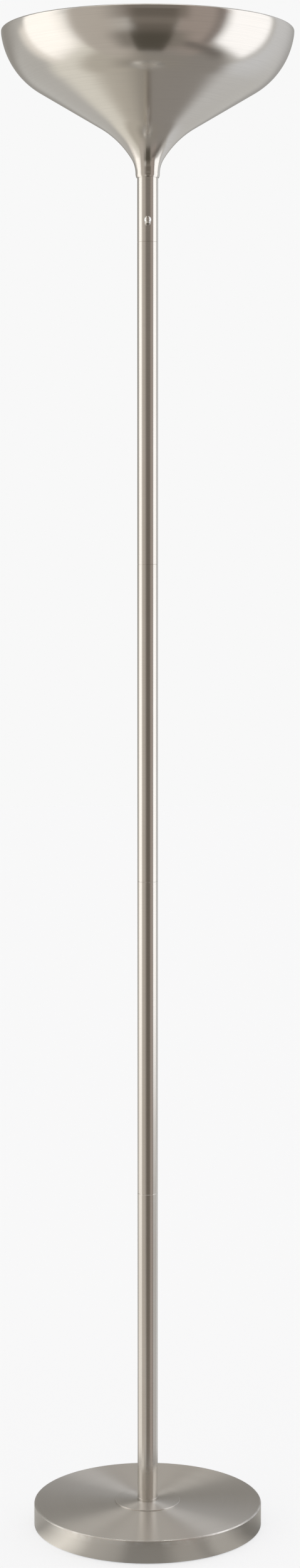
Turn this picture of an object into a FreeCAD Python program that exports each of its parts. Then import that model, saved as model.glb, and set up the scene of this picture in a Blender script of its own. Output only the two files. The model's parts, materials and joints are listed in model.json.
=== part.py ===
import FreeCAD, Part
import os
from math import acos, cos, pi, radians, sin, sqrt, tan

# Torchiere floor lamp. Millimetres, +Z up, origin at the centre of the underside of the base.
# The switch faces -Y and the cord inlet is at the back, in +Y.

# Driving dimensions ---------------------------------------------------------------------------
base_radius = 140.0
base_top = 28.5
base_sheet = 1.2
base_edge_round = 2.0
skirt_gap = 0.8              # the skirt stops this far above the floor
pad_radius = 138.0
pad_height = 2.0
ballast_radius = 138.4
ballast_top = 27.1
ballast_bore = 6.0
recess_radius = 32.0         # room under the ballast for the nut and the terminals
recess_ceiling = 20.0
disc_radius = 40.0
disc_height = 1.4

tube_radius = 12.5
tube_wall = 1.0
tube_edge = 0.3              # small chamfer that shows as a seam between tubes
collar_height = 3.5
collar_plug = 16.0           # length of the collar's shank inside the tube
section_length = 384.0
section_count = 4
neck_bottom = 1642.0         # where the shade's neck slips over the switch tube
neck_overlap = 12.0

thread_radius = 5.0          # M10 lamp thread, as plain cylinders
thread_hole = 5.25           # clearance hole for it
stud_radius = 8.0            # M16 thread between the tubes
wire_way = 3.6
thread_clearance = 0.05
socket_length = 14.0
stud_length = 12.0
shoulder_gap = 0.1           # room between a slug's face and the end of its tube
nut_across_flats = 14.0

switch_height = 1587.5
lever_tilt = 12.5            # the lever rests this far above level, in degrees
ball_radius = 4.4
lever_reach = 12.0           # from the lever's pivot to the centre of its ball
pivot_out = 13.4             # from the pole's axis to the lever's pivot

shade_sheet = 0.9
neck_radius = 13.5
neck_lean = 24.0
neck_round = 11.55
flare_round = 34.0
rim_roll = 2.2

lead_radius = 1.0
lead_spread = 1.2            # sideways distance of the two long leads from the pole's axis

# Heights that follow --------------------------------------------------------------------------
disc_top = base_top + disc_height
collar_top = disc_top + collar_height
tube_bore = tube_radius - tube_wall
plug_radius = tube_bore - 0.05
joint_heights = [disc_top + section_length * k for k in range(1, section_count + 1)]
tube_top = neck_bottom + neck_overlap
plug_top = tube_top + 2.0
seat_top = plug_top + 3.0
shade_nut_top = seat_top + 4.0
cap_bottom = shade_nut_top + 0.5
cap_top = cap_bottom + 17.5
core_bottom = cap_top + 2.0
core_top = core_bottom + 9.0
shell_top = cap_top + 38.0
contact_height = core_top + 2.0
bulb_length = 108.0
bulb_radius = 30.0

UP = FreeCAD.Vector(0, 0, 1)
ORIGIN = FreeCAD.Vector(0, 0, 0)


def vec(x, y, z):
    return FreeCAD.Vector(x, y, z)


# Shape helpers --------------------------------------------------------------------------------
def rounded_outline(corners):
    """Closed wire in the XZ plane from (radius, height) corners; a third value rounds the corner."""
    points = [vec(c[0], 0, c[1]) for c in corners]
    roundings = [c[2] if len(c) > 2 else 0.0 for c in corners]
    count = len(points)
    arrivals, departures, middles = [], [], []
    for i in range(count):
        here = points[i]
        back = (points[i - 1] - here).normalize()
        ahead = (points[(i + 1) % count] - here).normalize()
        half = acos(max(-1.0, min(1.0, back.dot(ahead)))) / 2
        if roundings[i]:
            reach = roundings[i] / tan(half)
            inward = (back + ahead).normalize()
            arrivals.append(here + back * reach)
            departures.append(here + ahead * reach)
            middles.append(here + inward * (roundings[i] / sin(half) - roundings[i]))
        else:
            arrivals.append(here)
            departures.append(here)
            middles.append(None)
    edges = []
    for i in range(count):
        if middles[i] is not None:
            edges.append(Part.Arc(arrivals[i], middles[i], departures[i]).toShape())
        follower = arrivals[(i + 1) % count]
        if departures[i].distanceToPoint(follower) > 1e-6:
            edges.append(Part.LineSegment(departures[i], follower).toShape())
    return Part.Wire(edges)


def turned(corners):
    """Solid of revolution about Z."""
    return Part.Face(rounded_outline(corners)).revolve(ORIGIN, UP, 360)


def ring(inner, outer, low, high):
    return turned([(inner, low), (outer, low), (outer, high), (inner, high)])


def rod(radius, low, high, x=0.0, y=0.0):
    return Part.makeCylinder(radius, high - low, vec(x, y, low), UP)


def block(x0, x1, y0, y1, z0, z1):
    return Part.makeBox(x1 - x0, y1 - y0, z1 - z0, vec(x0, y0, z0))


def hexagon(across_flats, low, high, bore):
    corner = across_flats / sqrt(3)
    points = [vec(corner * cos(pi / 3 * k), corner * sin(pi / 3 * k), low) for k in range(7)]
    prism = Part.Face(Part.makePolygon(points)).extrude(vec(0, 0, high - low))
    lathe_cut = turned([(0, low), (corner - 0.5, low), (corner, low + 0.5), (corner, high - 0.5),
                        (corner - 0.5, high), (0, high)])
    return prism.common(lathe_cut).cut(rod(bore, low - 1, high + 1))


def facing_front(shape):
    """Lay a switch part, made along +Z from the pole's axis, down onto -Y at the switch."""
    shape.rotate(ORIGIN, vec(1, 0, 0), 90)
    shape.translate(vec(0, 0, switch_height))
    return shape


def spun_sheet(start, heading, pieces, thickness):
    """Sheet wall of revolution. It starts at (radius, height), leaning out by heading degrees.
    A piece is ("line", length) or (bend radius, new heading). The sheet lies on the left of its
    path, so the path is its outer face."""
    place = vec(start[0], 0, start[1])
    angle = radians(heading)

    def left(a):
        return vec(-cos(a), 0, sin(a))

    def inner(point, a):
        return point + left(a) * thickness

    outside, inside = [], []
    first_outer, first_inner = place, inner(place, angle)
    for piece in pieces:
        if piece[0] == "line":
            end = place + vec(sin(angle), 0, cos(angle)) * piece[1]
            outside.append(Part.LineSegment(place, end).toShape())
            inside.append(Part.LineSegment(inner(place, angle), inner(end, angle)).toShape())
            place = end
            continue
        bend, new_heading = piece
        turn = radians(new_heading)
        side = -1.0 if turn > angle else 1.0
        centre = place + left(angle) * (side * bend)
        halfway = (angle + turn) / 2
        middle = centre - left(halfway) * (side * bend)
        end = centre - left(turn) * (side * bend)
        outside.append(Part.Arc(place, middle, end).toShape())
        inside.append(Part.Arc(inner(place, angle), inner(middle, halfway), inner(end, turn)).toShape())
        place, angle = end, turn
    far_edge = Part.LineSegment(place, inner(place, angle)).toShape()
    near_edge = Part.LineSegment(first_inner, first_outer).toShape()
    wire = Part.Wire(outside + [far_edge] + inside[::-1] + [near_edge])
    return Part.Face(wire).revolve(ORIGIN, UP, 360)


def lead(points, bends):
    """Insulated wire: straight runs joined by tangent arcs, one bend radius per inner point."""
    edges = []
    place = points[0]
    length = 0.0
    for i in range(1, len(points) - 1):
        corner = points[i]
        back = (points[i - 1] - corner).normalize()
        ahead = (points[i + 1] - corner).normalize()
        half = acos(back.dot(ahead)) / 2
        reach = bends[i - 1] / tan(half)
        start = corner + back * reach
        end = corner + ahead * reach
        middle = corner + (back + ahead).normalize() * (bends[i - 1] / sin(half) - bends[i - 1])
        edges.append(Part.LineSegment(place, start).toShape())
        edges.append(Part.Arc(start, middle, end).toShape())
        length += place.distanceToPoint(start) + bends[i - 1] * (pi - 2 * half)
        place = end
    edges.append(Part.LineSegment(place, points[-1]).toShape())
    length += place.distanceToPoint(points[-1])
    direction = points[1] - points[0]
    section = Part.Wire(Part.Circle(points[0], direction, lead_radius).toShape())
    solid = Part.Wire(edges).makePipeShell([section], True, False)
    expected = pi * lead_radius ** 2 * length
    print("lead: length %.1f, volume over section times length %.4f" % (length, solid.Volume / expected))
    return solid


# Base -----------------------------------------------------------------------------------------
gland_height = 11.0
gland_radius = 5.5
cord_way_half = 8.0


def make_foot_pad():
    return turned([(0, 0), (pad_radius, 0, 0.5), (pad_radius, pad_height), (0, pad_height)])


def make_ballast():
    """Cast disc with a recess for the fixings and a way out to the back for the cord."""
    body = turned([(ballast_bore, ballast_top), (ballast_bore, recess_ceiling), (recess_radius, recess_ceiling, 1.5),
                   (recess_radius, pad_height), (ballast_radius, pad_height),
                   (ballast_radius, ballast_top, 3.0)])
    cord_way = block(-cord_way_half, cord_way_half, recess_radius - 6, ballast_radius + 2,
                     pad_height - 1, recess_ceiling)
    body = body.cut(cord_way)
    for x in (-clamp_screw_x, clamp_screw_x):
        body = body.cut(rod(clamp_screw_radius, recess_ceiling - 1, recess_ceiling + 5, x, clamp_y))
    return body


def make_base_shell():
    """Spun cover: flat top, small round at the edge, upright skirt."""
    underside = base_top - base_sheet
    inner_radius = base_radius - base_sheet
    shell = turned([(thread_hole, underside), (thread_hole, base_top), (base_radius, base_top, base_edge_round),
                    (base_radius, skirt_gap, 0.5), (inner_radius, skirt_gap),
                    (inner_radius, underside, base_edge_round - base_sheet)])
    inlet = Part.makeCylinder(gland_radius, 20, vec(0, base_radius - 10, gland_height), vec(0, 1, 0))
    return shell.cut(inlet)


cord_hole = 3.4
guard_flange_radius = 7.5
guard_flange = 1.8
guard_length = 8.8
guard_catch = 6.2            # radius of the catch behind the skirt
guard_slit = 0.5


def make_cord_bush():
    """Snap-in nylon bush that guards the cord where it goes through the skirt."""
    shank = gland_radius - 0.1
    groove = guard_flange + base_sheet + 0.5
    bush = turned([(cord_hole, 0, 0.6), (guard_flange_radius, 0, 0.8),
                   (guard_flange_radius, guard_flange), (shank, guard_flange), (shank, groove),
                   (guard_catch, groove + 0.4), (shank + 0.2, guard_length), (cord_hole, guard_length)])
    slit = block(-guard_slit, guard_slit, -8, 8, groove + 0.3, guard_length + 1)
    bush = bush.cut(slit)
    bush.rotate(ORIGIN, vec(1, 0, 0), 90)
    bush.translate(vec(0, base_radius + guard_flange, gland_height))
    return bush


clamp_y = 23.0
clamp_screw_x = 10.0
clamp_screw_radius = 1.5
clamp_screw_grip = 4.0       # how far each screw goes into the ballast
clamp_half_length = 14.0
clamp_half_width = 4.0
clamp_bottom = 11.0
saddle_radius = 3.3
saddle_height = 16.0
clamp_head_radius = 2.8


def make_cord_clamp():
    """Saddle that holds the supply cord against the ceiling of the recess."""
    bar = block(-clamp_half_length, clamp_half_length, clamp_y - clamp_half_width,
                clamp_y + clamp_half_width, clamp_bottom, recess_ceiling)
    saddle = Part.makeCylinder(saddle_radius, 20, vec(0, clamp_y - 10, saddle_height), vec(0, 1, 0))
    slot = block(-saddle_radius, saddle_radius, clamp_y - 10, clamp_y + 10, saddle_height,
                 recess_ceiling + 1)
    bar = bar.cut(saddle).cut(slot)
    for x in (-clamp_screw_x, clamp_screw_x):
        bar = bar.cut(rod(clamp_screw_radius + 0.1, clamp_bottom - 1, recess_ceiling + 1, x, clamp_y))
    return bar


def make_clamp_screws():
    screws = []
    for x in (-clamp_screw_x, clamp_screw_x):
        crown = clamp_bottom - 2.4
        head = turned([(0, crown), (2.0, crown, 0.8), (clamp_head_radius, crown + 1.4),
                       (clamp_head_radius, clamp_bottom), (0, clamp_bottom)])
        driver_slot = block(-3, 3, -0.4, 0.4, crown - 1, crown + 1)
        head = head.cut(driver_slot)
        head.translate(vec(x, clamp_y, 0))
        shank = rod(clamp_screw_radius, clamp_bottom, recess_ceiling + clamp_screw_grip, x, clamp_y)
        screws.append(head.fuse(shank).removeSplitter())
    return Part.makeCompound(screws)


terminal_x = (-8.0, 0.0, 8.0)
terminal_height = 7.0
terminal_y = (-28.0, -16.0)
terminal_half_width = 12.0
terminal_low = 2.5
terminal_high = 12.5
barrel_radius = 2.55
barrel_bore = 1.3
cut_line_half = 0.75         # grooves where the strip can be cut
cut_line_depth = 2.0


def make_terminal_block():
    front, back = terminal_y
    body = block(-terminal_half_width, terminal_half_width, front, back, terminal_low, terminal_high)
    for x in terminal_x:
        tunnel = Part.makeCylinder(barrel_radius + 0.05, 20, vec(x, front - 4, terminal_height),
                                   vec(0, 1, 0))
        body = body.cut(tunnel)
    for x in (terminal_x[0] / 2, terminal_x[2] / 2):
        groove = (x - cut_line_half, x + cut_line_half, front - 1, back + 1)
        body = body.cut(block(*groove, terminal_high - cut_line_depth, terminal_high + 1))
        body = body.cut(block(*groove, terminal_low - 1, terminal_low + cut_line_depth))
    return body


def make_terminal_barrels():
    barrels = []
    for x in terminal_x:
        length = terminal_y[1] - terminal_y[0]
        start = vec(x, terminal_y[0], terminal_height)
        outer = Part.makeCylinder(barrel_radius, length, start, vec(0, 1, 0))
        barrels.append(outer.cut(Part.makeCylinder(barrel_bore, length, start, vec(0, 1, 0))))
    return Part.makeCompound(barrels)


washer_bottom = recess_ceiling - 1.6
tag_bottom = washer_bottom - 0.6
lock_bottom = tag_bottom - 1.0
nut_bottom = lock_bottom - 5.0
nipple_bottom = 10.0
base_washer_radius = 14.0
small_washer_radius = 9.0
tag_reach = 16.0
tag_half_width = 3.0
lock_split = 0.9


def make_earth_tag():
    eye = ring(thread_hole, small_washer_radius, tag_bottom, washer_bottom)
    tab = block(-tag_half_width, tag_half_width, -tag_reach, -thread_hole - 1, tag_bottom, washer_bottom)
    return eye.fuse(tab).removeSplitter()


def make_lock_washer():
    body = ring(thread_hole, small_washer_radius, lock_bottom, tag_bottom)
    return body.cut(block(-lock_split, lock_split, thread_hole - 1, small_washer_radius + 1,
                          lock_bottom - 1, tag_bottom + 1))


def make_centre_disc():
    return turned([(thread_hole, base_top), (disc_radius, base_top), (disc_radius, disc_top, 0.5),
                   (thread_hole, disc_top)])


# Pole -----------------------------------------------------------------------------------------
def make_foot_collar():
    """Turned bush: its flange is the thin ring at the foot of the pole."""
    return turned([(thread_radius, disc_top), (tube_radius, disc_top, tube_edge),
                   (tube_radius, collar_top, tube_edge), (plug_radius, collar_top),
                   (plug_radius, collar_top + collar_plug), (thread_radius, collar_top + collar_plug)])


def make_tube(low, high):
    return turned([(tube_bore, low), (tube_radius - tube_edge, low), (tube_radius, low + tube_edge),
                   (tube_radius, high - tube_edge), (tube_radius - tube_edge, high),
                   (tube_bore, high)])


def make_spigot(height):
    """Plug in the top of the lower tube with a hollow stud that stands out of it."""
    return turned([(thread_radius, height - socket_length), (plug_radius, height - socket_length),
                   (plug_radius, height - shoulder_gap),
                   (stud_radius - thread_clearance, height - shoulder_gap),
                   (stud_radius - thread_clearance, height + stud_length, 0.6),
                   (thread_radius, height + stud_length)])


def make_socket(height):
    """Threaded slug in the foot of the upper tube."""
    low = height + shoulder_gap
    return turned([(stud_radius, low), (plug_radius, low), (plug_radius, height + socket_length),
                   (stud_radius, height + socket_length)])


def make_switch_tube():
    tube = make_tube(joint_heights[-1], tube_top)
    hole = Part.makeCylinder(bush_radius + 0.05, 20, vec(0, 0, switch_height), vec(0, -1, 0))
    return tube.cut(hole)


def make_nipple(low, high):
    edge = 0.5
    outer = thread_radius - thread_clearance
    return turned([(wire_way, low), (outer - edge, low), (outer, low + edge), (outer, high - edge),
                   (outer - edge, high), (wire_way, high)])


# Switch, made along +Z from the pole's axis and then laid down onto -Y --------------------------
switch_front = 8.3           # front of the switch body, from the pole's axis
switch_back = -1.2
switch_half_width = 4.0
switch_half_height = 6.6
cavity_half_width = 1.6      # room for the lever's tail
cavity_half_height = 2.9
cavity_depth = 4.2
flange_half_height = 5.5
flange_sheet = 0.5
bush_bore = 1.85
bush_radius = 2.6
bush_end = 16.0
inner_nut_flats = 7.6
inner_nut_gap = 1.1          # between the inner nut and the tube's bore, for the bore's curve
ring_nut_radius = 3.5
ring_nut_foot = tube_radius + 0.05
ring_nut_face = 14.7
ring_slot_half = 0.4
ring_slot_depth = 0.6
lug_offset = 4.7
lug_half_width = 1.1
lug_half_sheet = 0.4
lug_length = 4.0
tail_radius = 0.6
tail_length = 8.0
pivot_radius = bush_bore - 0.1
stem_thin = 1.05             # radius of the stem where it comes out of the bush
stem_thick = 1.7             # and where it meets its ball


def make_switch_body():
    body = block(-switch_half_width, switch_half_width, -switch_half_height, switch_half_height,
                 switch_back, switch_front)
    cavity = block(-cavity_half_width, cavity_half_width, -cavity_half_height, cavity_half_height,
                   switch_front - cavity_depth, switch_front + 1)
    return facing_front(body.cut(cavity))


def make_switch_bush():
    half_width = switch_half_width - 0.1
    flange_face = switch_front + flange_sheet
    flange = block(-half_width, half_width, -flange_half_height, flange_half_height,
                   switch_front, flange_face)
    barrel = rod(bush_radius, flange_face, bush_end)
    bush = flange.fuse(barrel).removeSplitter().cut(rod(bush_bore, 0, 30))
    return facing_front(bush)


def make_switch_inner_nut():
    return facing_front(hexagon(inner_nut_flats, switch_front + flange_sheet,
                                tube_bore - inner_nut_gap, bush_radius))


def make_switch_ring_nut():
    """Round nut outside the tube, with two spanner slots in its face."""
    nut = turned([(bush_radius, ring_nut_foot), (ring_nut_radius, ring_nut_foot),
                  (ring_nut_radius, ring_nut_face, 0.4), (bush_radius, ring_nut_face)])
    slot = block(-5, 5, -ring_slot_half, ring_slot_half, ring_nut_face - ring_slot_depth,
                 ring_nut_face + 1)
    return facing_front(nut.cut(slot))


def make_switch_lugs():
    lugs = []
    for offset in (-lug_offset, lug_offset):
        lug = block(-lug_half_width, lug_half_width, offset - lug_half_sheet, offset + lug_half_sheet,
                    switch_back - lug_length, switch_back)
        lugs.append(facing_front(lug))
    return Part.makeCompound(lugs)


def make_switch_lever():
    """Lever about its own pivot: tail inside the switch, pivot ball, stem and end ball."""
    tail = rod(tail_radius, -tail_length, 0)
    pivot = Part.makeSphere(pivot_radius)
    stem = turned([(0, 0), (stem_thin, 0), (stem_thin, 3.0), (stem_thick, lever_reach - 3.0),
                   (stem_thick, lever_reach), (0, lever_reach)])
    end_ball = Part.makeSphere(ball_radius, vec(0, 0, lever_reach))
    lever = tail.fuse([pivot, stem, end_ball]).removeSplitter()
    lever.rotate(ORIGIN, vec(1, 0, 0), 90 - lever_tilt)
    lever.translate(vec(0, -pivot_out, switch_height))
    return lever


# Head -----------------------------------------------------------------------------------------
neck_lip = neck_round * sin(radians(neck_lean))
waist_radius = neck_radius + neck_round * (1 - cos(radians(neck_lean)))


def flare_inner_radius(height, gap):
    """Inner radius of the flare above the neck, less a gap, at a height above the neck's foot."""
    reach = flare_round + shade_sheet + gap
    return waist_radius + flare_round - sqrt(reach ** 2 - (height - neck_lip) ** 2)


def make_head_plug():
    return turned([(thread_radius, neck_bottom), (plug_radius, neck_bottom),
                   (plug_radius, tube_top), (tube_radius, tube_top), (tube_radius, plug_top),
                   (thread_radius, plug_top)])


def make_shade_seat():
    """Washer with a bevelled edge on which the shade hangs by its flare."""
    low = flare_inner_radius(plug_top - neck_bottom, 0.05)
    high = flare_inner_radius(seat_top - neck_bottom, 0.05)
    return turned([(thread_hole, plug_top), (low, plug_top), (high, seat_top), (thread_hole, seat_top)])


def make_shade():
    """Spun bowl: neck, flare, curved bowl with a straight cone in it, and a rolled rim."""
    outline = [(neck_round, 0.0), (flare_round, 32.2), (112.0, 59.5), ("line", 86.0), (87.6, 8.1),
               (18.0, 2.7), ("line", 2.4), (rim_roll, -180.0)]
    return spun_sheet((neck_radius, neck_bottom), neck_lean, outline, shade_sheet)


holder_radius = 19.0
holder_bore = 17.5
boss_radius = 8.0
boss_height = 8.5
holder_lip = 15.0            # radius of the mouth that the bulb's cap goes through
lip_height = 2.5
core_radius = 17.2
holder_terminal_x = 8.0
terminal_pocket = 1.6
wire_y = 2.0
screw_shell_radius = 13.95
screw_shell_bore = 13.4
screw_shell_height = 24.0
screw_shell_sheet = 0.6


def make_lampholder_cap():
    """Domed cap with a threaded boss."""
    shoulder = cap_bottom + 9.0
    boss_top = cap_bottom + boss_height
    return turned([(thread_radius, cap_bottom), (holder_radius / 2, cap_bottom, 1.0),
                   (holder_radius, shoulder, 5.0), (holder_radius, cap_top), (holder_bore, cap_top),
                   (holder_bore, shoulder + 0.6, 4.0), (boss_radius, cap_bottom + 2.0),
                   (boss_radius, boss_top), (thread_radius, boss_top)])


def make_lampholder_shell():
    """Outer sleeve with a lip that keeps fingers off the live screw shell."""
    return turned([(holder_bore, cap_top), (holder_radius, cap_top), (holder_radius, shell_top, 1.5),
                   (holder_lip, shell_top, 0.8), (holder_lip, shell_top - lip_height),
                   (holder_bore, shell_top - lip_height)])


def make_lampholder_core():
    core = turned([(0, core_bottom), (core_radius, core_bottom), (core_radius, core_top, 0.8),
                   (0, core_top)])
    for x in (-holder_terminal_x, holder_terminal_x):
        core = core.cut(rod(terminal_pocket, core_bottom - 1, core_bottom + 4, x, wire_y))
    return core


def make_screw_shell():
    floor_radius = 7.0
    high = core_top + screw_shell_height
    floor_top = core_top + screw_shell_sheet
    return turned([(floor_radius, core_top), (screw_shell_radius, core_top, 0.5),
                   (screw_shell_radius, high), (screw_shell_bore, high), (screw_shell_bore, floor_top),
                   (floor_radius, floor_top)])


def make_centre_contact():
    """Sprung brass dome under the bulb."""
    dome, foot, sheet = 2.0, 5.6, 0.5
    underside = contact_height - 0.3 - sheet
    return turned([(0, underside), (dome, underside), (foot - 0.6, core_top), (foot, core_top),
                   (foot, core_top + sheet), (dome + 0.2, contact_height - 0.3),
                   (0, contact_height - 0.3)])


# Bulb -----------------------------------------------------------------------------------------
cap_low = contact_height + 3.5
cap_high = contact_height + 26.0
housing_high = contact_height + bulb_length - bulb_radius - 4.0
globe_centre = contact_height + bulb_length - bulb_radius
cap_radius = 13.1
button_radius = 4.8
button_height = 1.5


def make_bulb_contact():
    high = contact_height + button_height
    return turned([(0, contact_height), (3.0, contact_height, 0.8), (button_radius, high - 0.5),
                   (button_radius, high), (0, high)])


def make_bulb_insulator():
    low = contact_height + button_height
    return turned([(0, low), (button_radius + 0.7, low), (cap_radius - 3.1, cap_low), (0, cap_low)])


def make_bulb_cap():
    return turned([(0, cap_low), (cap_radius - 1.6, cap_low, 1.0), (cap_radius, cap_low + 2.0),
                   (cap_radius, cap_high - 3.0), (cap_radius + 0.7, cap_high), (0, cap_high)])


def make_bulb_housing():
    rim = sqrt(bulb_radius ** 2 - (globe_centre - housing_high) ** 2)
    foot = vec(cap_radius + 0.9, 0, cap_high)
    shoulder = vec(rim, 0, housing_high)
    waist = vec(17.5, 0, cap_high + 19.0)
    edges = [Part.LineSegment(vec(0, 0, cap_high), foot).toShape(),
             Part.Arc(foot, waist, shoulder).toShape(),
             Part.LineSegment(shoulder, vec(0, 0, housing_high)).toShape(),
             Part.LineSegment(vec(0, 0, housing_high), vec(0, 0, cap_high)).toShape()]
    return Part.Face(Part.Wire(edges)).revolve(ORIGIN, UP, 360)


def make_bulb_globe():
    ball = Part.makeSphere(bulb_radius, vec(0, 0, globe_centre))
    return ball.cut(rod(bulb_radius + 1, globe_centre - bulb_radius - 1, housing_high))


# Internal leads -------------------------------------------------------------------------------
lead_start_y = -26.0
lug_y = lug_length / 2 - switch_back


def make_earth_lead():
    return lead([vec(0, lead_start_y, terminal_height), vec(0, -12.6, terminal_height),
                 vec(0, -12.6, tag_bottom)], [4.0])


def rise_from_terminal(x):
    """Route from a terminal, along the recess and up the middle of the pole."""
    side = lead_spread if x > 0 else -lead_spread
    return [vec(x, lead_start_y, terminal_height), vec(x, -13.0, terminal_height),
            vec(side, wire_y, terminal_height)], side


def make_live_lead_lower():
    points, side = rise_from_terminal(terminal_x[0])
    lug_low = switch_height - lug_offset - lug_half_sheet
    points += [vec(side, wire_y, switch_height - 17.0), vec(0, lug_y, switch_height - 9.0),
               vec(0, lug_y, lug_low)]
    return lead(points, [6.0, 4.0, 8.0, 8.0])


def make_live_lead_upper():
    lug_high = switch_height + lug_offset + lug_half_sheet
    return lead([vec(0, lug_y, lug_high), vec(0, lug_y, switch_height + 10.0),
                 vec(-lead_spread, wire_y, switch_height + 18.0),
                 vec(-lead_spread, wire_y, cap_bottom + 9.5),
                 vec(-holder_terminal_x, wire_y, cap_bottom + 15.0),
                 vec(-holder_terminal_x, wire_y, core_bottom + 3.0)], [8.0, 8.0, 3.5, 3.5])


def make_neutral_lead():
    points, side = rise_from_terminal(terminal_x[2])
    points += [vec(side, wire_y, switch_height - 21.5), vec(2.8, 2.4, switch_height - 13.5),
               vec(2.8, 2.4, switch_height - 8.0), vec(5.4, 5.4, switch_height + 0.5),
               vec(5.4, 5.4, switch_height + 8.0), vec(side, wire_y, switch_height + 18.0),
               vec(side, wire_y, cap_bottom + 9.5),
               vec(holder_terminal_x, wire_y, cap_bottom + 15.0),
               vec(holder_terminal_x, wire_y, core_bottom + 3.0)]
    return lead(points, [6.0, 4.0, 6.0, 6.0, 6.0, 6.0, 6.0, 6.0, 3.5, 3.5])


# All nodes ------------------------------------------------------------------------------------
parts = {
    "foot_pad": make_foot_pad(),
    "ballast": make_ballast(),
    "base_shell": make_base_shell(),
    "cord_bush": make_cord_bush(),
    "cord_clamp": make_cord_clamp(),
    "clamp_screws": make_clamp_screws(),
    "terminal_block": make_terminal_block(),
    "terminal_barrels": make_terminal_barrels(),
    "base_nipple": make_nipple(nipple_bottom, collar_top + collar_plug - 4.0),
    "base_washer": ring(thread_hole, base_washer_radius, washer_bottom, recess_ceiling),
    "earth_tag": make_earth_tag(),
    "lock_washer": make_lock_washer(),
    "base_nut": hexagon(nut_across_flats, nut_bottom, lock_bottom, thread_radius),
    "centre_disc": make_centre_disc(),
    "foot_collar": make_foot_collar(),
    "switch_tube": make_switch_tube(),
    "switch_body": make_switch_body(),
    "switch_bush": make_switch_bush(),
    "switch_inner_nut": make_switch_inner_nut(),
    "switch_ring_nut": make_switch_ring_nut(),
    "switch_lugs": make_switch_lugs(),
    "switch_lever": make_switch_lever(),
    "head_plug": make_head_plug(),
    "head_nipple": make_nipple(neck_bottom, cap_bottom + boss_height),
    "shade_seat": make_shade_seat(),
    "shade_nut": hexagon(nut_across_flats, seat_top, shade_nut_top, thread_radius),
    "shade": make_shade(),
    "lampholder_cap": make_lampholder_cap(),
    "lampholder_shell": make_lampholder_shell(),
    "lampholder_core": make_lampholder_core(),
    "screw_shell": make_screw_shell(),
    "centre_contact": make_centre_contact(),
    "bulb_contact": make_bulb_contact(),
    "bulb_insulator": make_bulb_insulator(),
    "bulb_cap": make_bulb_cap(),
    "bulb_housing": make_bulb_housing(),
    "bulb_globe": make_bulb_globe(),
    "earth_lead": make_earth_lead(),
    "live_lead_lower": make_live_lead_lower(),
    "live_lead_upper": make_live_lead_upper(),
    "neutral_lead": make_neutral_lead(),
}
tube_foot = collar_top
for number, joint_height in enumerate(joint_heights, start=1):
    parts["pole_tube_%d" % number] = make_tube(tube_foot, joint_height)
    parts["joint_spigot_%d" % number] = make_spigot(joint_height)
    parts["joint_socket_%d" % number] = make_socket(joint_height)
    tube_foot = joint_height

os.makedirs("parts", exist_ok=True)
for name, shape in parts.items():
    shape.exportStep("parts/%s.step" % name)
    if not shape.isValid() or shape.Volume <= 0:
        print("check this shape:", name)
shade_box = parts["shade"].optimalBoundingBox()
print("nodes: %d, top of the rim: %.2f, shade radius: %.2f" % (len(parts), shade_box.ZMax, shade_box.XMax))
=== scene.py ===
import json
import math

import bmesh
import bpy
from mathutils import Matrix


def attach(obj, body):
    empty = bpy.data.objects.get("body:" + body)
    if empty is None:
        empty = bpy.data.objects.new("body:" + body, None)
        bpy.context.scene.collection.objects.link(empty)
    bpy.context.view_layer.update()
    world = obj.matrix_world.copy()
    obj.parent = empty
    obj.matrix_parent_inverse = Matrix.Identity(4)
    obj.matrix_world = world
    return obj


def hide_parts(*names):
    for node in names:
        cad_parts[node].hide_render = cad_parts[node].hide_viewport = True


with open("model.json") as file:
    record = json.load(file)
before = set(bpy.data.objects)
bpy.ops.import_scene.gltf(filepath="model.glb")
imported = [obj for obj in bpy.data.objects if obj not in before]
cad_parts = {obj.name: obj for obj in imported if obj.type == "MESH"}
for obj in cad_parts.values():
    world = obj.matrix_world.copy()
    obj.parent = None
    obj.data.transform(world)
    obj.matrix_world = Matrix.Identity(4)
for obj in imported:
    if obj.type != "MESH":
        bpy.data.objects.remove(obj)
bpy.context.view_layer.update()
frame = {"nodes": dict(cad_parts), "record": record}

MM = 0.001
nodes = frame["nodes"]

# Camera, in metres unless a comment says otherwise ----------------------------------------------
CAMERA_BACK = 3.3685
CAMERA_HEIGHT = 1.2227
CAMERA_TILT_DOWN = 4.19       # degrees
LENS = 64.08                  # mm
SENSOR = 36.0                 # mm, the height of the frame
SHIFT_X = 0.0015              # share of the frame's height
SHIFT_Y = -0.0313
FARTHEST = 100.0


def make_camera():
    data = bpy.data.cameras.new("camera")
    data.lens = LENS
    data.sensor_width = SENSOR
    data.shift_x = SHIFT_X
    data.shift_y = SHIFT_Y
    data.clip_end = FARTHEST
    camera = bpy.data.objects.new("camera", data)
    camera.location = (0.0, -CAMERA_BACK, CAMERA_HEIGHT)
    camera.rotation_euler = (math.radians(90.0 - CAMERA_TILT_DOWN), 0.0, 0.0)
    bpy.context.scene.collection.objects.link(camera)
    bpy.context.scene.camera = camera


make_camera()


# Node helpers ---------------------------------------------------------------------------------
COLOUR_MIX_INPUTS = (0, 6, 7)         # sockets of a mix node set to colours: factor, first, second
COLOUR_MIX_RESULT = 2


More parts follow.
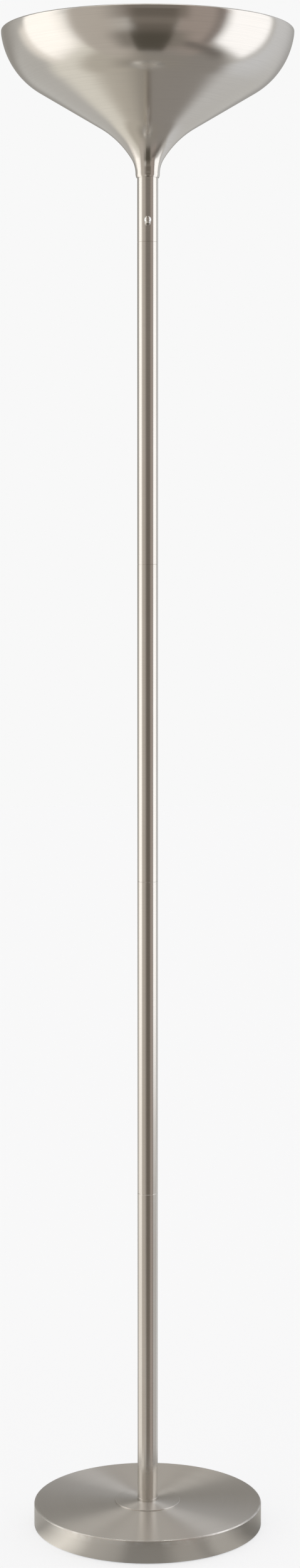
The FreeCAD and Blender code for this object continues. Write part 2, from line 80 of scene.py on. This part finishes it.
class Tree:
    """Short names for making shader nodes."""

    def __init__(self, tree):
        self.tree = tree
        tree.nodes.clear()

    def node(self, kind, **inputs):
        made = self.tree.nodes.new(kind)
        for key, value in inputs.items():
            self.put(made, key, value)
        return made

    def put(self, made, key, value):
        socket = made.inputs[key]
        if isinstance(value, bpy.types.NodeSocket):
            self.tree.links.new(value, socket)
        else:
            socket.default_value = value

    def math(self, operation, *values):
        made = self.tree.nodes.new("ShaderNodeMath")
        made.operation = operation
        for index, value in enumerate(values):
            self.put(made, index, value)
        return made.outputs[0]

    def ramp(self, value, low, high, out_low=0.0, out_high=1.0, smooth=True):
        made = self.tree.nodes.new("ShaderNodeMapRange")
        made.interpolation_type = "SMOOTHSTEP" if smooth else "LINEAR"
        for key, number in (("From Min", low), ("From Max", high), ("To Min", out_low),
                            ("To Max", out_high)):
            self.put(made, key, number)
        self.put(made, "Value", value)
        return made.outputs[0]

    def mix(self, factor, first, second):
        made = self.tree.nodes.new("ShaderNodeMix")
        made.data_type = "RGBA"
        for socket, value in zip(COLOUR_MIX_INPUTS, (factor, first, second)):
            self.put(made, socket, value)
        return made.outputs[COLOUR_MIX_RESULT]

    def noise(self, vector, scale, detail=3.0, roughness=0.5):
        made = self.node("ShaderNodeTexNoise", Scale=scale, Detail=detail, Roughness=roughness)
        self.put(made, "Vector", vector)
        return made.outputs["Fac"]

    def place(self):
        """Place in the object's own frame, so that marks move with it."""
        return self.node("ShaderNodeTexCoord").outputs["Object"]

    def axes(self, vector):
        split = self.node("ShaderNodeSeparateXYZ", Vector=vector)
        return [split.outputs[key] for key in "XYZ"]

    def azimuth(self, x, y):
        """Degrees from the direction of the camera, -Y, positive to the right."""
        angle = self.math("ARCTAN2", x, self.math("MULTIPLY", y, -1.0))
        return self.math("MULTIPLY", angle, math.degrees(1.0))

    def reach(self, x, y):
        """Distance from the lamp's axis."""
        squares = self.math("ADD", self.math("MULTIPLY", x, x), self.math("MULTIPLY", y, y))
        return self.math("SQRT", squares)

    def window(self, value, low, high, low_edge, high_edge):
        """1 between low and high, with a soft edge of the given width at each."""
        rise = self.ramp(value, low - low_edge / 2, low + low_edge / 2)
        fall = self.ramp(value, high - high_edge / 2, high + high_edge / 2, 1.0, 0.0)
        return self.math("MULTIPLY", rise, fall)

    def finish(self, surface, output="ShaderNodeOutputMaterial"):
        self.tree.links.new(surface.outputs[0], self.node(output).inputs["Surface"])


def new_material(name):
    material = bpy.data.materials.new(name)
    material.use_nodes = True
    return material, Tree(material.node_tree)


def grey(level):
    return (level, level, level, 1.0)


# Studio: room, softboxes, floor and card --------------------------------------------------------
BACKDROP = (0.939, 0.939, 0.939, 1.0)
STAGE_SEGMENTS = 96

# The room as the metal sees it: azimuth 0 is towards the camera, positive to the right, degrees.
# Each panel is (left, right, left edge, right edge, low, high, low edge, high edge, colour), where
# an edge is the width over which the panel fades in. Later panels cover earlier ones.
ROOM = (0.60, 0.59, 0.565)
PANELS = {
    "back": (-200, -135, 9, 40, -8, 60, 14, 9, (0.36, 0.345, 0.32)),
    "back_right": (140, 200, 40, 9, -8, 60, 14, 9, (0.38, 0.37, 0.355)),
    "floor": (-200, 200, 9, 9, -100, -60, 9, 16, (0.36, 0.335, 0.295)),
    "floor_left": (-165, -46, 30, 44, -76, -50, 16, 9, (0.60, 0.565, 0.495)),
    "floor_right": (-10, 200, 50, 9, -78, -49, 30, 12, (0.34, 0.32, 0.30)),
    "right_wall": (118, 150, 9, 50, -50, 60, 14, 9, (0.76, 0.77, 0.79)),
    "floor_glow": (-160, -58, 24, 30, -57, -39, 12, 12, (0.92, 0.89, 0.81)),
    "left_front": (-66, -20, 5, 44, -75, 60, 26, 9, (0.60, 0.555, 0.50)),
    "left_floor": (-121, -68, 12, 12, -45, -2, 12, 9, (1.05, 1.00, 0.93)),
    "right_front": (24, 72, 10, 8, -64, 60, 24, 9, (0.45, 0.39, 0.355)),
    "right_floor": (60, 112, 8, 12, -45, -2, 12, 9, (0.60, 0.59, 0.58)),
    "right_front_low": (34, 98, 30, 24, -57, -48, 10, 6, (0.20, 0.18, 0.165)),
    "camera_dusk": (-26, 32, 32, 10, -17, 60, 2, 9, (0.28, 0.245, 0.215)),
    "camera_shadow": (-34, 38, 24, 20, -62, -36, 12, 12, (0.29, 0.265, 0.235)),
    "camera_side": (-13, 24, 12, 8, -68, 3, 8, 5, (0.18, 0.158, 0.135)),
    "camera_low": (-16, 23, 4, 4, -68, -38, 6, 14, (0.105, 0.094, 0.076)),
    "camera_top": (-13, 24, 12, 8, 3, 60, 5, 9, (0.26, 0.235, 0.21)),
    "floor_strip": (-13, 24, 8, 6, -26, -17, 8, 2, (0.26, 0.23, 0.20)),
    "right_box_frame": (55, 64, 8, 6, -47, 60, 9, 9, (0.30, 0.26, 0.24)),
    "overhead": (-200, 200, 9, 9, 68, 100, 20, 9, (1.20, 1.17, 1.12)),
}

# Two tall softboxes stand beside the lamp, -1 at its left and 1 at its right. Metres: (front, back,
# bottom, top) of the lit cloth and the width of its soft edge at each of these. Then its colour.
BOX_DISTANCE = 1.8
SOFTBOXES = {
    "softbox_left": (-1, (-0.74, 0.58, 0.10, 3.2), (0.90, 0.24, 1.10, 0.5), (1.52, 1.48, 1.42)),
    "softbox_right": (1, (-0.87, 0.60, 0.16, 3.2), (0.46, 0.34, 0.50, 0.5), (1.47, 1.47, 1.49)),
}


def stage_piece(name, mesh, material):
    piece = bpy.data.objects.new(name, mesh)
    bpy.context.scene.collection.objects.link(piece)
    mesh.materials.append(material)
    return piece


def disc_mesh(name, radius):
    mesh = bpy.data.meshes.new(name)
    shape = bmesh.new()
    bmesh.ops.create_circle(shape, cap_ends=True, segments=STAGE_SEGMENTS, radius=radius)
    shape.to_mesh(mesh)
    shape.free()
    return mesh


def show_only_to_reflections(piece):
    for ray in ("camera", "diffuse", "shadow", "transmission", "volume_scatter"):
        setattr(piece, "visible_" + ray, False)


def finish_light(t, colour, clearness):
    """Glow that gives way to clear air by clearness."""
    glow = t.node("ShaderNodeEmission", Color=colour)
    clear = t.node("ShaderNodeBsdfTransparent")
    mix = t.node("ShaderNodeMixShader")
    for index, value in enumerate((clearness, glow.outputs[0], clear.outputs[0])):
        t.put(mix, index, value)
    t.finish(mix)


def make_softbox(name, side, span, edges, tint):
    """An upright sheet of light with faded edges, which only reflections see."""
    front, back, bottom, top = span
    front_edge, back_edge, bottom_edge, top_edge = edges
    x = side * BOX_DISTANCE
    y_low, y_high = front - front_edge / 2, back + back_edge / 2
    z_low, z_high = bottom - bottom_edge / 2, top + top_edge / 2
    mesh = bpy.data.meshes.new(name)
    corners = [(x, y_low, z_low), (x, y_high, z_low), (x, y_high, z_high), (x, y_low, z_high)]
    mesh.from_pydata(corners, [], [(0, 1, 2, 3)])
    material, t = new_material(name)
    _, y, z = t.axes(t.place())
    lit = t.math("MULTIPLY", t.window(y, front, back, front_edge, back_edge),
                 t.window(z, bottom, top, bottom_edge, top_edge))
    finish_light(t, (*tint, 1.0), t.math("SUBTRACT", 1.0, lit))
    show_only_to_reflections(stage_piece(name, mesh, material))


def make_world():
    world = bpy.data.worlds.new("studio")
    bpy.context.scene.world = world
    world.use_nodes = True
    t = Tree(world.node_tree)
    x, y, z = t.axes(t.node("ShaderNodeTexCoord").outputs["Generated"])
    azimuth = t.azimuth(x, y)
    elevation = t.math("MULTIPLY", t.math("ARCSINE", z), math.degrees(1.0))
    colour = (*ROOM, 1.0)
    for left, right, left_edge, right_edge, low, high, low_edge, high_edge, tint in PANELS.values():
        mask = t.math("MULTIPLY", t.window(azimuth, left, right, left_edge, right_edge),
                      t.window(elevation, low, high, low_edge, high_edge))
        colour = t.mix(mask, colour, (*tint, 1.0))
    seen = t.node("ShaderNodeLightPath").outputs["Is Camera Ray"]
    final = t.mix(seen, colour, BACKDROP)
    t.finish(t.node("ShaderNodeBackground", Color=final, Strength=1.0), "ShaderNodeOutputWorld")


FLOOR_RADIUS = 9.0
FLOOR_GLOW = (0.576, 0.588, 0.608, 1.0)   # the part of the floor's brightness that no shadow takes
FLOOR_TONE = 0.60
FLOOR_ROUGHNESS = 0.9


def make_floor():
    """Plain pale floor, a large disc, as bright as the backdrop behind it."""
    material, t = new_material("pale_floor")
    shader = t.node("ShaderNodeBsdfPrincipled", Roughness=FLOOR_ROUGHNESS)
    t.put(shader, "Specular IOR Level", 0.0)
    t.put(shader, "Base Color", grey(FLOOR_TONE))
    t.put(shader, "Emission Color", FLOOR_GLOW)
    t.put(shader, "Emission Strength", 1.0)
    t.finish(shader)
    floor = stage_piece("floor", disc_mesh("floor", FLOOR_RADIUS), material)
    floor.visible_glossy = False


# Brightness of the floor close to the base, as its skirt sees it: (azimuth in degrees, level).
CARD_TONES = ((-100, 0.47), (-89, 0.46), (-80, 0.40), (-63, 0.90), (-54, 1.07), (-45, 0.84),
              (-36, 0.53), (-18, 0.42), (-11, 0.30), (8, 0.31), (18, 0.43), (28, 0.43), (35, 0.35),
              (43, 0.49), (55, 0.49), (72, 0.24), (81, 0.25), (100, 0.42))
CARD_TINT = (1.0, 0.97, 0.91)
CARD_RADII = (0.21, 0.30)     # metres; the card is whole out to the first and gone at the second
CARD_DEPTH = 0.0005           # below the floor's face, which reflections don't see
HALF_TURN = 180.0             # degrees


def make_card():
    """Card round the foot, which only reflections see."""
    material, t = new_material("card")
    x, y, _ = t.axes(t.place())
    turn = t.ramp(t.azimuth(x, y), -HALF_TURN, HALF_TURN, smooth=False)
    tone = t.node("ShaderNodeValToRGB", Fac=turn)
    ramp = tone.color_ramp
    while len(ramp.elements) > 1:
        ramp.elements.remove(ramp.elements[-1])
    for index, (azimuth, level) in enumerate(CARD_TONES):
        share = (azimuth + HALF_TURN) / (2 * HALF_TURN)
        element = ramp.elements[0] if index == 0 else ramp.elements.new(share)
        element.position = share
        element.color = (*(level * part for part in CARD_TINT), 1.0)
    finish_light(t, tone.outputs["Color"], t.ramp(t.reach(x, y), *CARD_RADII))
    card = stage_piece("card", disc_mesh("card", CARD_RADII[1]), material)
    card.location.z = -CARD_DEPTH
    show_only_to_reflections(card)


make_world()
make_floor()
make_card()
for name, description in SOFTBOXES.items():
    make_softbox(name, *description)


# Materials ------------------------------------------------------------------------------------
def bump(t, height, strength, distance):
    made = t.node("ShaderNodeBump", Strength=strength, Distance=distance)
    t.put(made, "Height", height)
    return made.outputs["Normal"]


NOISE_RANGE = (0.3, 0.7)      # nearly all of a noise lies between these
WORN = (0.78, 0.765, 0.74)    # bright metal where the brushing is rubbed away at small rounds
WORN_SHARE = 0.5              # of that colour, where the wear is full
WORN_POLISH = 0.3             # share of the roughness that full wear takes away
WORN_SCALE, WORN_RANGE = 90.0, (0.35, 0.65)
MARK_PITCH = 1500.0           # noise per metre across the grooves
MARK_GREY, MARK_SHARE, MARK_RANGE = 0.35, 0.07, (0.35, 0.75)
MARK_ROUGHNESS = 0.02
MARK_BUMP, MARK_HEIGHT = 0.02, 0.0002
BAND_PITCH, BAND_ROUGHNESS = 180.0, 0.012
STREAK_NOISE = 0.6
CLOUD_SCALE, PLATING_CLOUD_SCALE, MOULDED_CLOUD_SCALE = 7.0, 60.0, 40.0
SKIN_HEIGHT = 0.0001
PLATING_GRAIN, PLATING_BUMP = 500.0, 0.05
PLATING_SPREAD, MOULDED_SPREAD = (0.8, 1.25), (0.85, 1.15)      # of the roughness
SUBSURFACE_REACH = 0.004
ACROSS_GROOVES = 0.25         # turns, so that highlights spread across grooves that run round Z
SKIRT_BLEND = 0.0004          # metres over which the top's finish gives way to the skirt's


def turned_metal(name, base, tint, roughness, along, anisotropy, grain=1.0, skirt=None):
    """Satin metal brushed round the lamp's axis. The marks are fine across the grooves and run
    on for about 1/along of a radian along them. skirt is (height, roughness below that height)."""
    material, t = new_material(name)
    place = t.place()
    x, y, z = t.axes(place)
    radius = t.reach(x, y)
    across = t.math("ADD", radius, z)
    round_x = t.math("DIVIDE", x, radius)
    round_y = t.math("DIVIDE", y, radius)

    def streaks(length, pitch, detail):
        made = t.node("ShaderNodeCombineXYZ", X=t.math("MULTIPLY", round_x, length),
                      Y=t.math("MULTIPLY", round_y, length), Z=t.math("MULTIPLY", across, pitch))
        return t.noise(made.outputs[0], 1.0, detail, STREAK_NOISE)

    marks = streaks(along, MARK_PITCH, detail=2.0)
    bands = streaks(along / 2, BAND_PITCH, detail=1.0)
    cloud = t.noise(place, CLOUD_SCALE, detail=2.0)
    tone = t.mix(t.ramp(cloud, *NOISE_RANGE), (*base, 1.0), (*tint, 1.0))
    tone = t.mix(t.ramp(marks, *MARK_RANGE, 0.0, MARK_SHARE * grain), tone, grey(MARK_GREY))
    edge = t.node("ShaderNodeAttribute")
    edge.attribute_name = "edge"
    patches = t.ramp(t.noise(place, WORN_SCALE), *WORN_RANGE)
    worn = t.math("MULTIPLY", edge.outputs["Fac"], patches)
    tone = t.mix(t.math("MULTIPLY", worn, WORN_SHARE), tone, (*WORN, 1.0))
    swing = t.ramp(marks, *NOISE_RANGE, -MARK_ROUGHNESS, MARK_ROUGHNESS, smooth=False)
    rough = t.math("ADD", swing, roughness)
    rough = t.math("SUBTRACT", rough, t.math("MULTIPLY", worn, roughness * WORN_POLISH))
    swing = t.ramp(bands, *NOISE_RANGE, -BAND_ROUGHNESS, BAND_ROUGHNESS, smooth=False)
    rough = t.math("ADD", rough, swing)
    if skirt:
        height, skirt_roughness = skirt
        drop = t.ramp(z, height - SKIRT_BLEND, height, roughness - skirt_roughness, 0.0)
        rough = t.math("SUBTRACT", rough, drop)
    shader = t.node("ShaderNodeBsdfPrincipled", Metallic=1.0, Anisotropic=anisotropy)
    t.put(shader, "Anisotropic Rotation", ACROSS_GROOVES)
    t.put(shader, "Base Color", tone)
    t.put(shader, "Roughness", rough)
    tangent = t.node("ShaderNodeTangent")
    tangent.direction_type = "RADIAL"
    tangent.axis = "Z"
    t.put(shader, "Tangent", tangent.outputs[0])
    t.put(shader, "Normal", bump(t, marks, MARK_BUMP * grain, MARK_HEIGHT))
    t.finish(shader)
    return material


def plain_metal(name, base, tint, roughness):
    """Plated or polished metal with faint marks."""
    material, t = new_material(name)
    place = t.place()
    fine = t.noise(place, PLATING_GRAIN)
    cloud = t.noise(place, PLATING_CLOUD_SCALE, detail=2.0)
    tone = t.mix(cloud, (*base, 1.0), (*tint, 1.0))
    shader = t.node("ShaderNodeBsdfPrincipled", Metallic=1.0)
    t.put(shader, "Base Color", tone)
    spread = [roughness * part for part in PLATING_SPREAD]
    t.put(shader, "Roughness", t.ramp(fine, *NOISE_RANGE, *spread))
    t.put(shader, "Normal", bump(t, fine, PLATING_BUMP, SKIN_HEIGHT))
    t.finish(shader)
    return material


def moulded(name, base, tint, roughness, scale=900.0, strength=0.08, coat=0.0, subsurface=0.0):
    """Moulded plastic or ceramic with a fine skin."""
    material, t = new_material(name)
    place = t.place()
    fine = t.noise(place, scale)
    cloud = t.noise(place, MOULDED_CLOUD_SCALE, detail=2.0)
    tone = t.mix(cloud, (*base, 1.0), (*tint, 1.0))
    shader = t.node("ShaderNodeBsdfPrincipled")
    t.put(shader, "Base Color", tone)
    spread = [roughness * part for part in MOULDED_SPREAD]
    t.put(shader, "Roughness", t.ramp(fine, *NOISE_RANGE, *spread))
    t.put(shader, "Normal", bump(t, fine, strength, SKIN_HEIGHT))
    if coat:
        t.put(shader, "Coat Weight", coat)
    if subsurface:
        t.put(shader, "Subsurface Weight", subsurface)
        t.put(shader, "Subsurface Scale", SUBSURFACE_REACH)
    t.finish(shader)
    return material


NICKEL = (0.69, 0.665, 0.63)
NICKEL_WARM = (0.67, 0.64, 0.60)
BASE_SKIRT = (0.0268, 0.17)   # metres up, in the round at the top's edge, and the skirt's roughness

material_of_slot = {
    "satin_nickel": turned_metal("satin_nickel", NICKEL, NICKEL_WARM, roughness=0.15, along=2.0,
                                 anisotropy=0.5, grain=1.4),
    "chrome": plain_metal("chrome", (0.86, 0.85, 0.83), (0.82, 0.81, 0.79), roughness=0.06),
    "zinc_steel": plain_metal("zinc_steel", (0.72, 0.73, 0.74), (0.66, 0.67, 0.70), roughness=0.28),
    "brass": plain_metal("brass", (0.83, 0.66, 0.33), (0.76, 0.58, 0.28), roughness=0.25),
    "cap_nickel": plain_metal("cap_nickel", (0.78, 0.77, 0.75), (0.72, 0.71, 0.70), roughness=0.22),
    "cast_ballast": moulded("cast_ballast", (0.42, 0.41, 0.39), (0.50, 0.49, 0.46), roughness=0.9,
                            scale=220.0, strength=0.5),
    "felt": moulded("felt", (0.05, 0.05, 0.05), (0.09, 0.09, 0.09), roughness=0.95, scale=1500.0,
                    strength=0.6),
    "black_nylon": moulded("black_nylon", (0.03, 0.03, 0.03), (0.05, 0.05, 0.05), roughness=0.45),
    "white_nylon": moulded("white_nylon", (0.82, 0.81, 0.78), (0.86, 0.85, 0.83), roughness=0.4),
    "black_phenolic": moulded("black_phenolic", (0.025, 0.025, 0.025), (0.04, 0.04, 0.04),
                              roughness=0.25, coat=0.3),
    "ceramic": moulded("ceramic", (0.85, 0.84, 0.80), (0.89, 0.88, 0.85), roughness=0.55),
    "white_housing": moulded("white_housing", (0.86, 0.86, 0.85), (0.89, 0.89, 0.88), roughness=0.35),
    "opal_diffuser": moulded("opal_diffuser", (0.90, 0.90, 0.88), (0.93, 0.93, 0.91), roughness=0.3,
                             subsurface=0.4),
    "green_lead": moulded("green_lead", (0.16, 0.42, 0.06), (0.20, 0.46, 0.08), roughness=0.45),
    "brown_lead": moulded("brown_lead", (0.16, 0.06, 0.025), (0.19, 0.08, 0.03), roughness=0.45),
    "blue_lead": moulded("blue_lead", (0.02, 0.12, 0.42), (0.03, 0.15, 0.47), roughness=0.45),
}


def dress(node, material):
    data = nodes[node].data
    data.materials.clear()
    data.materials.append(material)


for entry in frame["record"]["subparts"]:
    dress(entry["node"], material_of_slot[entry["material_slot"]])

pole_nickel = turned_metal("pole_nickel", NICKEL, NICKEL_WARM, roughness=0.14, along=1.5,
                           anisotropy=0.5)
base_nickel = turned_metal("base_nickel", NICKEL, NICKEL_WARM, roughness=0.38, along=1.2,
                           anisotropy=1.0, grain=0.4, skirt=BASE_SKIRT)
dress("switch_tube", pole_nickel)


# Turned sheet and tube -------------------------------------------------------------------------
# A profile is a closed list of (radius, height, edge) in mm; edge is 1 where a small round is
# rubbed bright. The dimensions are those of the CAD nodes.
SUPPORT = 0.5                 # mm from the end of a straight run to the loop that holds its shading
LONG_RUN = 8.0                # mm, longer than any step of a curve
ROUND_STEP = math.radians(6.0)
BEND_STEP = math.radians(2.0)         # for the large bends of a spun sheet
ROLL_STEP = math.radians(10.0)        # for its rolled rim
SHADE_SEGMENTS, BASE_SEGMENTS, DISC_SEGMENTS = 256, 256, 192
POLE_SEGMENTS, HOLE_SEGMENTS = 96, 64
SMALL_BEND = 10.0             # mm; a bend under this radius is rubbed bright
SHARP_ANGLE = math.radians(35.0)


def round_points(centre, radius, start, end):
    count = max(2, math.ceil(abs(end - start) / ROUND_STEP))
    angles = [start + (end - start) * k / count for k in range(count + 1)]
    return [(centre[0] + radius * math.cos(a), centre[1] + radius * math.sin(a), 1.0) for a in angles]


def rounded(corners):
    """Profile from (radius, height) corners; a third value rounds the corner."""
    profile = []
    for index, corner in enumerate(corners):
        before, after = corners[index - 1], corners[(index + 1) % len(corners)]
        back = (before[0] - corner[0], before[1] - corner[1])
        ahead = (after[0] - corner[0], after[1] - corner[1])
        back_length, ahead_length = math.hypot(*back), math.hypot(*ahead)
        back = (back[0] / back_length, back[1] / back_length)
        ahead = (ahead[0] / ahead_length, ahead[1] / ahead_length)
        size = corner[2] if len(corner) > 2 else 0.0
        if not size:
            profile.append((corner[0], corner[1], 0.0))
            continue
        half = math.acos(back[0] * ahead[0] + back[1] * ahead[1]) / 2
        middle = (back[0] + ahead[0], back[1] + ahead[1])
        scale = size / math.sin(half) / math.hypot(*middle)
        centre = (corner[0] + middle[0] * scale, corner[1] + middle[1] * scale)
        reach = size / math.tan(half)
        arrival = (corner[0] + back[0] * reach, corner[1] + back[1] * reach)
        departure = (corner[0] + ahead[0] * reach, corner[1] + ahead[1] * reach)
        start = math.atan2(arrival[1] - centre[1], arrival[0] - centre[0])
        end = math.atan2(departure[1] - centre[1], departure[0] - centre[0])
        end += round((start - end) / math.tau) * math.tau
        profile += round_points(centre, size, start, end)
    return profile


def supported(profile):
    """Adds loops just inside both ends of every long straight run."""
    held = []
    for index, here in enumerate(profile):
        after = profile[(index + 1) % len(profile)]
        held.append(here)
        length = math.hypot(after[0] - here[0], after[1] - here[1])
        if length > LONG_RUN:
            for share in (SUPPORT / length, 1 - SUPPORT / length):
                held.append((here[0] + (after[0] - here[0]) * share,
                             here[1] + (after[1] - here[1]) * share, 0.0))
    return held


def spun(start, heading, runs, thickness):
    """Profile of a spun sheet. It starts at (radius, height) and leans out by heading degrees.
    A run is ("line", length) or (bend radius, new heading). The path is the outer face."""
    place, angle = start, math.radians(heading)
    outer, inner = [], []

    def add(point, lean, edge):
        radius, height = point
        outer.append((radius, height, edge))
        inner.append((radius - math.cos(lean) * thickness, height + math.sin(lean) * thickness, edge))

    add(place, angle, 0.0)
    for bend, value in runs:
        if bend == "line":
            place = (place[0] + math.sin(angle) * value, place[1] + math.cos(angle) * value)
            add(place, angle, 0.0)
            continue
        turn = math.radians(value)
        small = bend < SMALL_BEND
        arm = -bend if turn > angle else bend
        centre = (place[0] - math.cos(angle) * arm, place[1] + math.sin(angle) * arm)
        count = max(3, math.ceil(abs(turn - angle) / (ROLL_STEP if small else BEND_STEP)))
        for k in range(1, count + 1):
            lean = angle + (turn - angle) * k / count
            place = (centre[0] + math.cos(lean) * arm, centre[1] - math.sin(lean) * arm)
            add(place, lean, 1.0 if small else 0.0)
        angle = turn
    return outer + inner[::-1]


def lathe(name, profile, segments, material):
    """Closed profile turned about Z."""
    shape = bmesh.new()
    edge_layer = shape.verts.layers.float.new("edge")
    rings = []
    for radius, height, edge in profile:
        ring = []
        for k in range(segments):
            angle = math.tau * k / segments
            vertex = shape.verts.new((radius * math.cos(angle) * MM, radius * math.sin(angle) * MM,
                                      height * MM))
            vertex[edge_layer] = edge
            ring.append(vertex)
        rings.append(ring)
    for index, ring in enumerate(rings):
        after = rings[(index + 1) % len(rings)]
        for k in range(segments):
            following = (k + 1) % segments
            shape.faces.new((ring[k], ring[following], after[following], after[k]))
    bmesh.ops.recalc_face_normals(shape, faces=shape.faces)
    mesh = bpy.data.meshes.new(name)
    shape.to_mesh(mesh)
    shape.free()
    smooth(mesh)
    mesh.materials.append(material)
    piece = bpy.data.objects.new(name, mesh)
    bpy.context.scene.collection.objects.link(piece)
    return piece


def smooth(mesh):
    mesh.shade_smooth()
    mesh.set_sharp_from_angle(angle=SHARP_ANGLE)


def stands_for(piece, node):
    """The piece takes the place of a CAD node of the stand."""
    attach(piece, "stand")
    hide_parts(node)


def cut_hole(piece, radius, start, length):
    """Round hole along +Y from start, in mm."""
    shape = bmesh.new()
    bmesh.ops.create_cone(shape, cap_ends=True, segments=HOLE_SEGMENTS, radius1=radius * MM,
                          radius2=radius * MM, depth=length * MM)
    for vertex in shape.verts:
        x, y, z = vertex.co
        vertex.co = (start[0] * MM + x, (start[1] + length / 2) * MM + z, start[2] * MM - y)
    mesh = bpy.data.meshes.new("drill")
    shape.to_mesh(mesh)
    shape.free()
    drill = bpy.data.objects.new("drill", mesh)
    bpy.context.scene.collection.objects.link(drill)
    modifier = piece.modifiers.new("hole", "BOOLEAN")
    modifier.operation = "DIFFERENCE"
    modifier.solver = "EXACT"
    modifier.object = drill
    bpy.context.view_layer.update()
    evaluated = piece.evaluated_get(bpy.context.evaluated_depsgraph_get())
    cut = bpy.data.meshes.new_from_object(evaluated)
    piece.modifiers.clear()
    bpy.data.objects.remove(drill)
    smooth(cut)
    piece.data = cut


THREAD_HOLE, THREAD_RADIUS = 5.25, 5.0
BASE_RADIUS, BASE_TOP, BASE_SHEET, BASE_ROUND = 140.0, 28.5, 1.2, 2.0
SKIRT_GAP, EDGE_ROUND = 0.8, 0.5
INLET_LOOPS = (3.0, 19.0)     # heights of the skirt's loops below and above the cord inlet
DISC_RADIUS, DISC_TOP = 40.0, 29.9
COLLAR_TOP, COLLAR_SHANK = 33.4, 16.0
TUBE_RADIUS, TUBE_BORE, TUBE_EDGE = 12.5, 11.5, 0.3
SHANK_ROOM = 0.05
TUBE_SECTION, TUBE_COUNT = 384.0, 4
NECK_FOOT, NECK_LEAN = (13.5, 1642.0), 24.0
SHADE_RUNS = [(11.55, 0.0), (34.0, 32.2), (112.0, 59.5), ("line", 86.0), (87.6, 8.1), (18.0, 2.7),
              ("line", 2.4), (2.2, -180.0)]
SHADE_SHEET = 0.9
GLAND_HEIGHT, GLAND_RADIUS = 11.0, 5.5
DRILL_REACH = 10.0            # either side of the skirt

base_ceiling, base_bore = BASE_TOP - BASE_SHEET, BASE_RADIUS - BASE_SHEET
inlet_low, inlet_high = INLET_LOOPS
base_profile = rounded([(THREAD_HOLE, base_ceiling), (THREAD_HOLE, BASE_TOP),
                        (BASE_RADIUS, BASE_TOP, BASE_ROUND), (BASE_RADIUS, inlet_high),
                        (BASE_RADIUS, inlet_low), (BASE_RADIUS, SKIRT_GAP, EDGE_ROUND),
                        (base_bore, SKIRT_GAP), (base_bore, inlet_low), (base_bore, inlet_high),
                        (base_bore, base_ceiling, BASE_ROUND - BASE_SHEET)])
base_cover = lathe("base_cover", supported(base_profile), BASE_SEGMENTS, base_nickel)
cut_hole(base_cover, GLAND_RADIUS, (0.0, BASE_RADIUS - DRILL_REACH, GLAND_HEIGHT), 2 * DRILL_REACH)
stands_for(base_cover, "base_shell")

disc_profile = rounded([(THREAD_HOLE, BASE_TOP), (DISC_RADIUS, BASE_TOP),
                        (DISC_RADIUS, DISC_TOP, EDGE_ROUND), (THREAD_HOLE, DISC_TOP)])
base_disc = lathe("base_disc", supported(disc_profile), DISC_SEGMENTS, base_nickel)
stands_for(base_disc, "centre_disc")

shank_radius, shank_top = TUBE_BORE - SHANK_ROOM, COLLAR_TOP + COLLAR_SHANK
collar_profile = rounded([(THREAD_RADIUS, DISC_TOP), (TUBE_RADIUS, DISC_TOP, TUBE_EDGE),
                          (TUBE_RADIUS, COLLAR_TOP, TUBE_EDGE), (shank_radius, COLLAR_TOP),
                          (shank_radius, shank_top), (THREAD_RADIUS, shank_top)])
pole_collar = lathe("pole_collar", supported(collar_profile), POLE_SEGMENTS, pole_nickel)
stands_for(pole_collar, "foot_collar")

tube_foot = COLLAR_TOP
for number in range(1, TUBE_COUNT + 1):
    tube_head = DISC_TOP + TUBE_SECTION * number
    tube_profile = [(TUBE_BORE, tube_foot, 0.0), (TUBE_RADIUS - TUBE_EDGE, tube_foot, 1.0),
                    (TUBE_RADIUS, tube_foot + TUBE_EDGE, 1.0), (TUBE_RADIUS, tube_head - TUBE_EDGE, 1.0),
                    (TUBE_RADIUS - TUBE_EDGE, tube_head, 1.0), (TUBE_BORE, tube_head, 0.0)]
    tube = lathe("pole_section_%d" % number, supported(tube_profile), POLE_SEGMENTS, pole_nickel)
    stands_for(tube, "pole_tube_%d" % number)
    tube_foot = tube_head

shade_profile = spun(NECK_FOOT, NECK_LEAN, SHADE_RUNS, SHADE_SHEET)
shade_bowl = lathe("shade_bowl", supported(shade_profile), SHADE_SEGMENTS,
                   material_of_slot["satin_nickel"])
stands_for(shade_bowl, "shade")

bpy.context.scene.view_settings.view_transform = "Standard"
